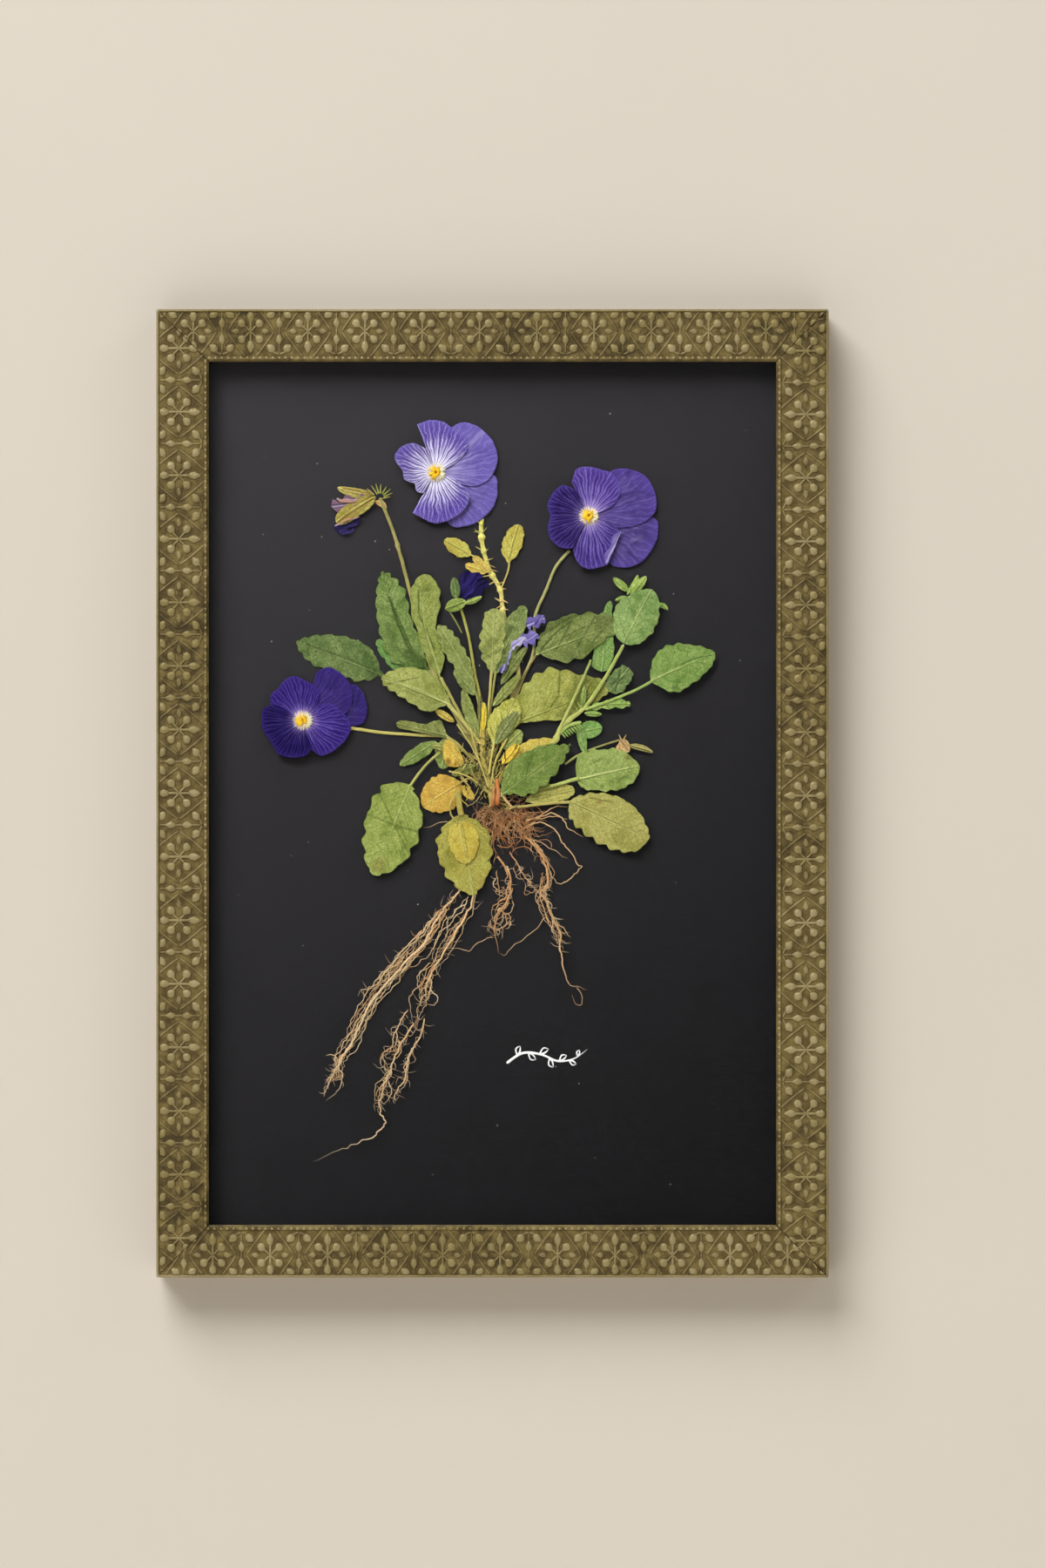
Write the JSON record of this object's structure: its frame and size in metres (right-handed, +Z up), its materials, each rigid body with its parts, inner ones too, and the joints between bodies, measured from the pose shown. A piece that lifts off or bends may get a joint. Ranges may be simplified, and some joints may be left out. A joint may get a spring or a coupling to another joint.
{
  "type": "pressed flower frame",
  "caption": "Whole pressed pansy plant with flowers, leaves and roots on black card, behind glass in an embossed bronze-gold picture frame.",
  "frame": {"origin": "the nail that the sawtooth hanger's middle notch hangs on, in the plane of the wall", "axes": "-Y out of the wall, towards the viewer; +X to the viewer's right; +Z up"},
  "size_m": [0.2888, 0.02, 0.4158],
  "materials": {
    "moulding": "wood moulding under a bronze-gold leaf finish, embossed, with dark umber left in the hollows and the gilding rubbed pale on the raised pattern",
    "glass": "clear picture glass, polished, ground edges",
    "spacer": "black matt strip",
    "card": "black card, matt, faded a little towards the top left, fine paper fibre",
    "board": "brown kraft-faced backing board, matt",
    "steel": "zinc-plated steel, satin",
    "petal_lilac": "pressed petal, papery, lilac-violet with dark radiating veins and white streaks round a yellow hub",
    "petal_violet": "pressed petal, papery, violet with dark veins and a white and yellow hub",
    "petal_indigo": "pressed petal, papery, dark indigo-violet with darker veins and a white and yellow hub",
    "dry_petal": "withered, crumpled, straw to pinkish brown with navy tips",
    "leaf_green": "pressed leaf, matt, grey-green with dark veins and bruises",
    "leaf_olive": "pressed leaf, matt, olive to straw with darker bruises",
    "leaf_yellow": "pressed leaf, matt, yellowed, with brown blotches",
    "stem": "dried stalk, matt, straw to olive, ribbed along its length",
    "root": "dried fibrous root, matt, tan to orange-brown"
  },
  "bodies": {
    "root": {"rail_top": "moulding", "rail_left": "moulding", "rail_bottom": "moulding", "rail_right": "moulding", "glass_pane": "glass", "spacer": "spacer", "mount_card": "card", "backing_board": "board", "point_left": "steel", "point_right": "steel", "point_top": "steel", "point_bottom": "steel", "sawtooth_hanger": "steel", "branch_right": "stem", "bud": "petal_indigo", "crown_stem": "stem", "flower_left_petal_back_right": "petal_indigo", "flower_left_petal_back_upper": "petal_indigo", "flower_left_petal_lip": "petal_indigo", "flower_left_petal_side_right": "petal_indigo", "flower_left_petal_side_upper": "petal_indigo", "flower_right_petal_back_lower": "petal_violet", "flower_right_petal_back_upper": "petal_violet", "flower_right_petal_lip": "petal_violet", "flower_right_petal_side_lower": "petal_violet", "flower_right_petal_side_upper": "petal_violet", "flower_top_petal_back_lower": "petal_lilac", "flower_top_petal_back_upper": "petal_lilac", "flower_top_petal_lip": "petal_lilac", "flower_top_petal_side_lower": "petal_lilac", "flower_top_petal_side_upper": "petal_lilac", "leaf_bottom_broad": "leaf_olive", "leaf_bottom_left": "leaf_green", "leaf_bottom_orange": "leaf_yellow", "leaf_bottom_yellow": "leaf_yellow", "leaf_centre_left": "leaf_olive", "leaf_centre_low": "leaf_olive", "leaf_centre_torn": "leaf_olive", "leaf_far_right": "leaf_green", "leaf_left_broad": "leaf_olive", "leaf_left_low": "leaf_green", "leaf_left_spoon": "leaf_olive", "leaf_left_tall": "leaf_green", "leaf_low_dark": "leaf_green", "leaf_low_light": "leaf_green", "leaf_low_tan": "leaf_olive", "leaf_right_big": "leaf_olive", "leaf_right_folded": "leaf_green", "leaf_right_round": "leaf_green", "root_centre": "root", "root_left_inner": "root", "root_left_outer": "root", "root_mass": "root", "root_right": "root", "stalk_bud": "stem", "stalk_left_flower": "stem", "stalk_right_flower": "stem", "stalk_top_flower": "stem", "stalk_wilted_flower": "stem", "wilted_flower": "dry_petal"}
  },
  "joints": []
}
